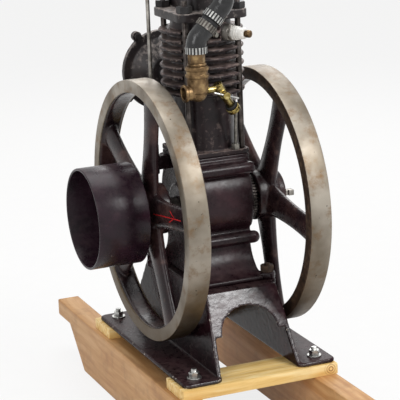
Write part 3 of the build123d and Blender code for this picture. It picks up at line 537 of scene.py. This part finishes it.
for node, (finish, edge) in machined.items():
    piece = copyOfNode(node, node + "Piece")
    editAll(piece)
    bpy.ops.mesh.dissolve_limited(angle_limit=math.radians(brokenEdge["flatAngle"]))
    bpy.ops.object.mode_set(mode="OBJECT")
    if edge:
        applyModifier(piece, "BEVEL", width=edge * mm, segments=brokenEdge["segments"], limit_method="ANGLE",
                      angle_limit=math.radians(brokenEdge["edgeAngle"]))
    smoothShade(piece, brokenEdge["shadeAngle"])
    settle(piece, node, finish)
print("machined pieces:", len(machined))

# the handle's boss round the stem is brass, and the bar through it is plated
handleBoss = dict(radius=6.5)
stemAt = jointAt["fuel_valve_turn"]
secondFinish(bpy.data.objects["valve_handlePiece"], lambda face: math.hypot(
    face.center.x - stemAt.x, face.center.z - stemAt.z) < handleBoss["radius"] * mm, newBrass)


hexBar = dict(latheSides=48, latheSpare=1.002)


def hexSolid(name, flats, height, chamfer=0.95):
    # a hex bar end whose corners are turned off to a circle, standing on the origin
    corner = flats / math.sqrt(3)
    middle = (0, 0, height / 2 * mm)
    bpy.ops.object.select_all(action="DESELECT")
    bpy.ops.mesh.primitive_cylinder_add(vertices=6, radius=corner * mm, depth=height * mm, location=middle)
    bar = bpy.context.object
    bar.name = name
    bpy.ops.mesh.primitive_cylinder_add(vertices=hexBar["latheSides"], depth=height * mm, location=middle,
                                        radius=corner * hexBar["latheSpare"] * mm)
    lathe = bpy.context.object
    pickFaces(lathe, lambda face: abs(face.normal.z) > 0.9)
    bpy.ops.mesh.bevel(offset=(corner - flats / 2 * chamfer) * mm, offset_type="WIDTH", segments=1,
                       affect="EDGES")
    bpy.ops.object.mode_set(mode="OBJECT")
    applyModifier(bar, "BOOLEAN", operation="INTERSECT", object=lathe, solver="EXACT")
    bpy.data.objects.remove(lathe)
    freeze(bar)
    smoothShade(bar, 30)
    return bar


threadForm = dict(sides=20, root=0.87)


def threadSolid(name, radius, length, pitch):
    # a stud end with real thread rings, standing on the origin
    bpy.ops.object.select_all(action="DESELECT")
    bpy.ops.mesh.primitive_circle_add(vertices=threadForm["sides"], radius=radius * mm, fill_type="NGON")
    stud = bpy.context.object
    stud.name = name
    editAll(stud)
    step = pitch / 2
    for index in range(max(2, int(length / step))):
        bpy.ops.mesh.extrude_region_move(TRANSFORM_OT_translate={"value": (0, 0, step * mm)})
        factor = threadForm["root"] if index % 2 == 0 else 1 / threadForm["root"]
        ringTop = (0, 0, (index + 1) * step * mm)
        bpy.ops.transform.resize(value=(factor, factor, 1.0), center_override=ringTop)
    bpy.ops.mesh.select_all(action="SELECT")
    bpy.ops.mesh.normals_make_consistent(inside=False)
    bpy.ops.object.mode_set(mode="OBJECT")
    smoothShade(stud, 25)
    return stud


def turnedSolid(name, outline, steps=40):
    # a lathe piece about +Z from (radius, height) points
    bpy.ops.object.select_all(action="DESELECT")
    bpy.ops.mesh.primitive_plane_add(size=1.0 * mm)
    piece = bpy.context.object
    piece.name = name
    editAll(piece)
    bpy.ops.mesh.merge(type="CENTER")
    bpy.ops.transform.translate(value=(outline[0][0] * mm, 0, outline[0][1] * mm))
    for (r0, z0), (r1, z1) in zip(outline, outline[1:]):
        move = ((r1 - r0) * mm, 0, (z1 - z0) * mm)
        bpy.ops.mesh.extrude_region_move(TRANSFORM_OT_translate={"value": move})
    bpy.ops.mesh.select_all(action="SELECT")
    bpy.ops.mesh.spin(steps=steps, angle=2 * math.pi, center=(0, 0, 0), axis=(0, 0, 1))
    bpy.ops.mesh.select_all(action="SELECT")
    bpy.ops.mesh.remove_doubles(threshold=0.01 * mm)
    bpy.ops.mesh.normals_make_consistent(inside=False)
    bpy.ops.object.mode_set(mode="OBJECT")
    smoothShade(piece, 35)
    return piece


def copyTo(obj, at, way=(0, 0, 1), spin=0.0, name=None):
    made = obj.copy()
    made.data = obj.data.copy()
    if name:
        made.name = name
    bpy.context.scene.collection.objects.link(made)
    turnTo = Vector(way).to_track_quat("Z", "Y").to_matrix().to_4x4()
    made.matrix_world = Matrix.Translation(at) @ turnTo @ Matrix.Rotation(math.radians(spin), 4, "Z")
    freeze(made)
    return made


def joined(name, pieces):
    onlySelect(pieces[0])
    for piece in pieces:
        piece.select_set(True)
    bpy.ops.object.join()
    bpy.context.object.name = name
    return bpy.context.object


def dropSpares(*spares):
    for spare in spares:
        bpy.data.objects.remove(spare)


def fourCorners(x, y):
    return [(sx * x, sy * y) for sx in (-1, 1) for sy in (-1, 1)]


# foot bolts: plain washer, hex nut and the end of a stud
footBolt = dict(x=112.5, y=183.0, seat=-250.6, washerThick=2.5, flats=16.0, height=9.0, stud=5.0, tip=5.6,
                pitch=1.5, firstSpin=13.0, spin=31.0,
                washer=[(5.2, 0), (12.0, 0), (12.5, 0.5), (12.5, 2.1), (12.0, 2.5), (5.2, 2.5), (5.2, 0)])
washer = turnedSolid("washer", footBolt["washer"])
nut = hexSolid("nut", footBolt["flats"], footBolt["height"])
stud = threadSolid("stud", footBolt["stud"], footBolt["tip"] + footBolt["height"], footBolt["pitch"])
stack = []
for index, (x, y) in enumerate(fourCorners(footBolt["x"], footBolt["y"])):
    nutSpot = place(x, y, footBolt["seat"] + footBolt["washerThick"])
    stack.append(copyTo(washer, place(x, y, footBolt["seat"])))
    stack.append(copyTo(nut, nutSpot, spin=footBolt["firstSpin"] + footBolt["spin"] * index))
    stack.append(copyTo(stud, nutSpot))
settle(joined("footBolts", stack), "foot_bolts", zincPlate)
dropSpares(washer, nut, stud)

# nuts on studs: rusty ones on the base ledge, black ones on the head
nutSets = dict(
    ledgeBolts=dict(node="ledge_bolts", finish=rustyIron, x=66.0, y=100.0, seat=-112.0, flats=22.0,
                    height=11.0, stud=5.0, tip=3.6, pitch=1.8, firstSpin=8.0, spin=17.0),
    headNuts=dict(node="head_nuts", finish=blackIron, x=48.5, y=48.5, seat=344.0, flats=24.0,
                  height=12.0, stud=4.9, tip=8.8, pitch=2.0, firstSpin=8.0, spin=23.0),
)
for name, spec in nutSets.items():
    nut = hexSolid("nut", spec["flats"], spec["height"])
    stud = threadSolid("stud", spec["stud"], spec["height"] + spec["tip"], spec["pitch"])
    stack = []
    for index, (x, y) in enumerate(fourCorners(spec["x"], spec["y"])):
        seat = place(x, y, spec["seat"])
        stack.append(copyTo(nut, seat, spin=spec["firstSpin"] + spec["spin"] * index))
        stack.append(copyTo(stud, seat))
    settle(joined(name, stack), spec["node"], spec["finish"])
    dropSpares(nut, stud)

# muffler bolts through the lugs of the two halves
lugBolt = dict(circle=80.0, angle=34.0, y=198.0, z=205.0, reach=6.0, flats=11.0, height=5.0, spin=19.0)
head = hexSolid("head", lugBolt["flats"], lugBolt["height"])
stack = []
for index in range(4):
    angle = math.radians(lugBolt["angle"] + 90 * index)
    x, z = lugBolt["circle"] * math.cos(angle), lugBolt["z"] + lugBolt["circle"] * math.sin(angle)
    for side in (-1, 1):
        seat = place(x, lugBolt["y"] + side * lugBolt["reach"], z)
        stack.append(copyTo(head, seat, (0, side, 0), lugBolt["spin"] * index))
settle(joined("mufflerBolts", stack), "muffler_front", blackIron, replace=False)
dropSpares(head)

# worm-drive clamps: a slotted band, a screw housing and a hex screw
hoseClamp = dict(radius=17.65, band=0.9, width=11.0, slots=20, slotShare=0.74, slotDepth=0.5, slotLip=0.2,
                 housing=(8.0, 14.0, 10.0), housingOut=4.0, housingEdge=2.4, screwFlats=7.0,
                 screwLength=20.0, screwOut=4.5,
                 spots=[((-53.0, -105.0, 290.7), (0, 0, 1), -90.0, zincPlate, blackGreaseAndSlotShade),
                        ((-33.44, -105.0, 327.41), (0.6746, 0, 0.7382), -70.0, dullZinc, oiledSteel),
                        ((-20.28, -105.0, 341.80), (0.6746, 0, 0.7382), 0.0, zincPlate, blackGreaseAndSlotShade),
                        ((0.0, -48.7, 412.0), (0, 1, 0), 180.0, zincPlate, blackGreaseAndSlotShade)])
outerWall = (hoseClamp["radius"] + hoseClamp["band"] * 0.6) * mm  # past the middle of the band
slotStep = math.pi / hoseClamp["slots"] / 2


def inShadedSlot(face):
    turned = math.atan2(face.center.y, face.center.x) % (2 * math.pi)
    onOutside = abs(face.normal.z) < 0.3 and math.hypot(face.center.x, face.center.y) > outerWall
    return onOutside and int(turned / slotStep) % 4 < 2


bpy.ops.object.select_all(action="DESELECT")
bpy.ops.mesh.primitive_cylinder_add(vertices=hoseClamp["slots"] * 4, radius=hoseClamp["radius"] * mm,
                                    depth=hoseClamp["width"] * mm, end_fill_type="NOTHING")
band = bpy.context.object
applyModifier(band, "SOLIDIFY", thickness=hoseClamp["band"] * mm, offset=1.0)
band.data.materials.append(zincPlate)
# the slot faces are painted near-black as painted shade inside the shallow slots
secondFinish(band, inShadedSlot, blackGreaseAndSlotShade)
onlySelect(band)
bpy.ops.object.mode_set(mode="EDIT")
bpy.ops.mesh.inset(thickness=hoseClamp["slotLip"] * mm)
bpy.ops.transform.resize(value=(1.0, 1.0, hoseClamp["slotShare"]), center_override=(0, 0, 0))
bpy.ops.transform.shrink_fatten(value=-hoseClamp["slotDepth"] * mm)
bpy.ops.object.mode_set(mode="OBJECT")
smoothShade(band, 40)
bpy.ops.object.select_all(action="DESELECT")
housingAt = ((hoseClamp["radius"] + hoseClamp["housingOut"]) * mm, 0, 0)
bpy.ops.mesh.primitive_cube_add(size=1.0, location=housingAt)
housing = bpy.context.object
housing.scale = [side * mm for side in hoseClamp["housing"]]
freeze(housing)
applyModifier(housing, "BEVEL", width=hoseClamp["housingEdge"] * mm, segments=3)
smoothShade(housing, 40)
screw = hexSolid("screw", hoseClamp["screwFlats"], hoseClamp["screwLength"])
screwSpot = Vector((hoseClamp["radius"] + hoseClamp["screwOut"], -hoseClamp["screwLength"] / 2, 0)) * mm
screwed = copyTo(screw, screwSpot, (0, 1, 0))
for obj in (housing, screwed):
    obj.data.materials.clear()
    obj.data.materials.append(zincPlate)
clamp = joined("clamp", [band, housing, screwed])
stack = []
# each spot gives the band's plate and the finish that paints the shade in its slots
for at, way, spin, plate, slotShade in hoseClamp["spots"]:
    made = copyTo(clamp, place(*at), way, spin)
    made.data.materials[0] = plate
    made.data.materials[1] = slotShade
    stack.append(made)
settle(joined("hoseClamps", stack), "hose_clamps")
dropSpares(clamp, screw)

# hex bushing and pipe end between the mixer and the lower hose
bushing = dict(x=-53.0, y=-105.0, foot=264.0, flats=25.5, hexHeight=16.0, hexUp=4.8, chamfer=0.98, spin=20.0,
               pipe=[(0, 0), (15.6, 0), (16.2, 1.2), (16.2, 3.6), (15.4, 4.8), (13.3, 4.8), (13.3, 30.4),
                     (12.6, 31.0), (10.5, 31.0), (10.5, 18.0), (0, 18.0)])
collar = hexSolid("collar", bushing["flats"], bushing["hexHeight"], bushing["chamfer"])
pipeEnd = turnedSolid("pipeEnd", bushing["pipe"])
hexSpot = place(bushing["x"], bushing["y"], bushing["foot"] + bushing["hexUp"])
pipeSpot = place(bushing["x"], bushing["y"], bushing["foot"])
stack = [copyTo(collar, hexSpot, spin=bushing["spin"]), copyTo(pipeEnd, pipeSpot)]
settle(joined("mixerBushing", stack), "mixer_nipple", oldBrass)
dropSpares(collar, pipeEnd)

# fuel valve trim: a packing nut round the stem and a black seal above the union nut
valveTrim = dict(gland=(-6.5, -106.2, 210.0), flats=12.5, height=6.0, spin=12.0,
                 end=(17.5, -83.0, 183.0), way=(0.5817, 0.2490, -0.7744),
                 seal=[(7.05, -5.2), (9.6, -5.2), (10.2, -4.4), (10.2, -0.6), (9.6, 0.0), (7.05, 0.0),
                       (7.05, -5.2)])
packing = hexSolid("packing", valveTrim["flats"], valveTrim["height"])
packed = copyTo(packing, place(*valveTrim["gland"]), (0, 1, 0), valveTrim["spin"], "packingNut")
settle(packed, "fuel_valve", newBrass, replace=False)
seal = turnedSolid("seal", valveTrim["seal"])
sealed = copyTo(seal, place(*valveTrim["end"]), valveTrim["way"], name="unionSeal")
settle(sealed, "fuel_valve", blackGreaseAndSlotShade, replace=False)
dropSpares(packing, seal)

# spark plug, built along +Z and laid in the plug's direction
sparkPlug = dict(base=(20.7, -62.0, 307.0), heading=-58.5, hexFlats=28.0, hexHeight=12.0, chamfer=0.97,
                 spin=11.0, neck=5.0, white=22.0, knobSteps=24,
                 crimp=[(0, 0), (13.6, 0), (13.9, 1.2), (13.6, 3.2), (12.9, 4.6), (12.2, 5.0), (0, 5.0)],
                 ribbed=[(0, 0), (12.2, 0), (12.4, 1.0), (11.9, 3.2), (11.9, 4.2), (12.0, 6.0), (11.0, 7.4),
                         (11.0, 8.4), (11.3, 9.8), (10.4, 11.4), (10.3, 12.4), (10.5, 13.6), (9.7, 15.4),
                         (9.4, 20.0), (8.6, 21.6), (7.0, 22.0), (0, 22.0)],
                 knob=[(0, 0), (5.4, 0), (5.6, 1.2), (4.2, 1.8), (4.2, 3.0), (6.3, 3.4), (6.5, 4.2),
                       (6.5, 9.0), (6.0, 10.4), (4.6, 11.0), (2.4, 11.0), (2.2, 10.2), (0, 10.2)])
plugHeading = math.radians(sparkPlug["heading"])
plugWay = (math.cos(plugHeading), math.sin(plugHeading), 0.0)


def plugSpot(along):
    return place(*(Vector(sparkPlug["base"]) + Vector(plugWay) * along))


whiteFrom = sparkPlug["hexHeight"] + sparkPlug["neck"]
shellHex = hexSolid("shellHex", sparkPlug["hexFlats"], sparkPlug["hexHeight"], sparkPlug["chamfer"])
crimp = turnedSolid("crimp", sparkPlug["crimp"])
stack = [copyTo(shellHex, plugSpot(0.0), plugWay, sparkPlug["spin"]),
         copyTo(crimp, plugSpot(sparkPlug["hexHeight"]), plugWay)]
settle(joined("plugShell", stack), "plug_shell", bareSteel)
ribbed = turnedSolid("ribbed", sparkPlug["ribbed"])
insulator = copyTo(ribbed, plugSpot(whiteFrom), plugWay, name="plugPorcelain")
settle(insulator, "plug_insulator", porcelain)
knob = turnedSolid("knob", sparkPlug["knob"], sparkPlug["knobSteps"])
terminal = copyTo(knob, plugSpot(whiteFrom + sparkPlug["white"]), plugWay, name="plugKnob")
settle(terminal, "plug_terminal", oldBrass)
dropSpares(shellHex, crimp, ribbed, knob)
print("small pieces done")

# the hand-painted arrow that shows which way the wheel turns, laid on a spoke from outside
arrow = dict(x=-150.0, width=1.7, proud=0.25, cuts=24,
             strokes=[((-52.8, 6.4), (-173.4, 22.7)), ((-120.7, 27.3), (-143.8, 19.9)),
                      ((-118.3, 7.0), (-143.4, 19.4))])
outward = Vector((-1, 0, 0))
strokes = []
for (y0, z0), (y1, z1) in arrow["strokes"]:
    length = math.hypot(y1 - y0, z1 - z0)
    bpy.ops.object.select_all(action="DESELECT")
    bpy.ops.mesh.primitive_plane_add(size=1.0)
    stroke = bpy.context.object
    stroke.scale = (length * mm, arrow["width"] * mm, 1.0)
    freeze(stroke)
    editAll(stroke)
    bpy.ops.mesh.subdivide(number_cuts=arrow["cuts"])
    bpy.ops.object.mode_set(mode="OBJECT")
    along = Vector((0, y1 - y0, z1 - z0)).normalized()
    stand = Matrix((along, outward.cross(along), outward)).transposed().to_4x4()
    stand.translation = place(arrow["x"], (y0 + y1) / 2, (z0 + z1) / 2)
    stroke.matrix_world = stand
    freeze(stroke)
    strokes.append(stroke)
arrowPaint = joined("turningArrow", strokes)
applyModifier(arrowPaint, "SHRINKWRAP", target=bpy.data.objects["flywheel_leftSpokes"],
              wrap_method="PROJECT", use_project_x=True, use_negative_direction=False,
              use_positive_direction=True, offset=arrow["proud"] * mm)
arrowPaint.data.materials.append(redPaint)
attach(arrowPaint, "crank")


def seenDirectly(tree):
    # 1 for what the camera, a reflection or clear glass sees, 0 for the light that falls on the object
    path = addNode(tree, "ShaderNodeLightPath")
    mirrored = addNode(tree, "ShaderNodeMath", links={0: path.outputs["Is Camera Ray"],
                                                      1: path.outputs["Is Glossy Ray"]}, operation="MAXIMUM")
    return addNode(tree, "ShaderNodeMath", links={0: mirrored.outputs[0],
                                                  1: path.outputs["Is Transmission Ray"]},
                   operation="MAXIMUM").outputs[0]


# white studio: a paper floor that keeps a soft shadow, and an even white all round
studio = dict(floorSize=14.0, paper="#f2f1ef", paperShadow="#edecea", grainMm=40.0, floorGlow=0.84,
              white="#fdfdfd", skyLight=0.46)
bpy.ops.object.select_all(action="DESELECT")
bpy.ops.mesh.primitive_plane_add(size=studio["floorSize"], location=(0, 0, 0))
floor = bpy.context.object
floor.name = "studioFloor"
floorPaper, tree = newMaterial("palePaper")
where = addNode(tree, "ShaderNodeTexCoord").outputs["Object"]
grain = addNode(tree, "ShaderNodeTexNoise", {"Scale": perMm(studio["grainMm"]), "Detail": 3.0},
                {"Vector": where})
paper = addNode(tree, "ShaderNodeValToRGB", links={"Fac": grain.outputs["Fac"]},
                stops=tones(studio, paperShadow=0.3, paper=0.7))
sheet = addNode(tree, "ShaderNodeBsdfPrincipled", {"Roughness": 0.9}, {"Base Color": paper.outputs["Color"]})
glow = addNode(tree, "ShaderNodeEmission", {"Color": linear(studio["white"]), "Strength": 1.0})
share = addNode(tree, "ShaderNodeMath", {1: studio["floorGlow"]}, {0: seenDirectly(tree)},
                operation="MULTIPLY")
either = addNode(tree, "ShaderNodeMixShader",
                 links={"Fac": share.outputs[0], 1: sheet.outputs["BSDF"], 2: glow.outputs["Emission"]})
addNode(tree, "ShaderNodeOutputMaterial", links={"Surface": either.outputs["Shader"]})
floor.data.materials.append(floorPaper)

world = bpy.data.worlds.new("studioWorld")
bpy.context.scene.world = world
world.use_nodes = True
tree = world.node_tree
tree.nodes.clear()
white = linear(studio["white"])
lit = addNode(tree, "ShaderNodeBackground", {"Color": white, "Strength": studio["skyLight"]})
shown = addNode(tree, "ShaderNodeBackground", {"Color": white, "Strength": 1.0})
either = addNode(tree, "ShaderNodeMixShader", links={"Fac": seenDirectly(tree), 1: lit.outputs["Background"],
                                                     2: shown.outputs["Background"]})
addNode(tree, "ShaderNodeOutputWorld", links={"Surface": either.outputs["Shader"]})

lamps = dict(
    keySoftbox=dict(at=(1.15, -2.15, 2.25), size=1.0, watts=46.0),
    leftFill=dict(at=(-2.1, -1.7, 1.7), size=1.4, watts=20.0),
    topLight=dict(at=(0.2, 0.6, 2.9), size=1.8, watts=30.0),
    rearKick=dict(at=(1.2, 2.2, 1.8), size=1.2, watts=16.0),
)
for name, lamp in lamps.items():
    light = bpy.data.lights.new(name, "AREA")
    light.size = lamp["size"]
    light.energy = lamp["watts"]
    holder = bpy.data.objects.new(name, light)
    bpy.context.scene.collection.objects.link(holder)
    holder.location = lamp["at"]
    holder.rotation_euler = (crankAxis - Vector(lamp["at"])).to_track_quat("-Z", "Y").to_euler()

# the camera stands where the photograph was taken from, in degrees and millimetres from the crank axis
photoCamera = dict(azimuth=-22.38, elevation=14.83, roll=-2.31, distance=3022.72, slideX=12.84, slideY=-1.95,
                   lens=154.22, sensor=36.0, clipEnd=50.0)
turn, lift, roll = (math.radians(photoCamera[key]) for key in ("azimuth", "elevation", "roll"))
back = Vector((math.sin(turn) * math.cos(lift), -math.cos(turn) * math.cos(lift), math.sin(lift)))
right = Vector((math.cos(turn), math.sin(turn), 0.0))
up = back.cross(right)
camRight = math.cos(roll) * right + math.sin(roll) * up
camUp = math.cos(roll) * up - math.sin(roll) * right
standing = back * photoCamera["distance"] - camRight * photoCamera["slideX"] - camUp * photoCamera["slideY"]
camera = bpy.data.objects.new("photoCamera", bpy.data.cameras.new("photoCamera"))
bpy.context.scene.collection.objects.link(camera)
pose = Matrix((camRight, camUp, back)).transposed().to_4x4()
pose.translation = place(*standing)
camera.matrix_world = pose
camera.data.sensor_width = photoCamera["sensor"]
camera.data.lens = photoCamera["lens"]
camera.data.clip_end = photoCamera["clipEnd"]
bpy.context.scene.camera = camera
bpy.context.scene.view_settings.view_transform = "Standard"
print("stage set")
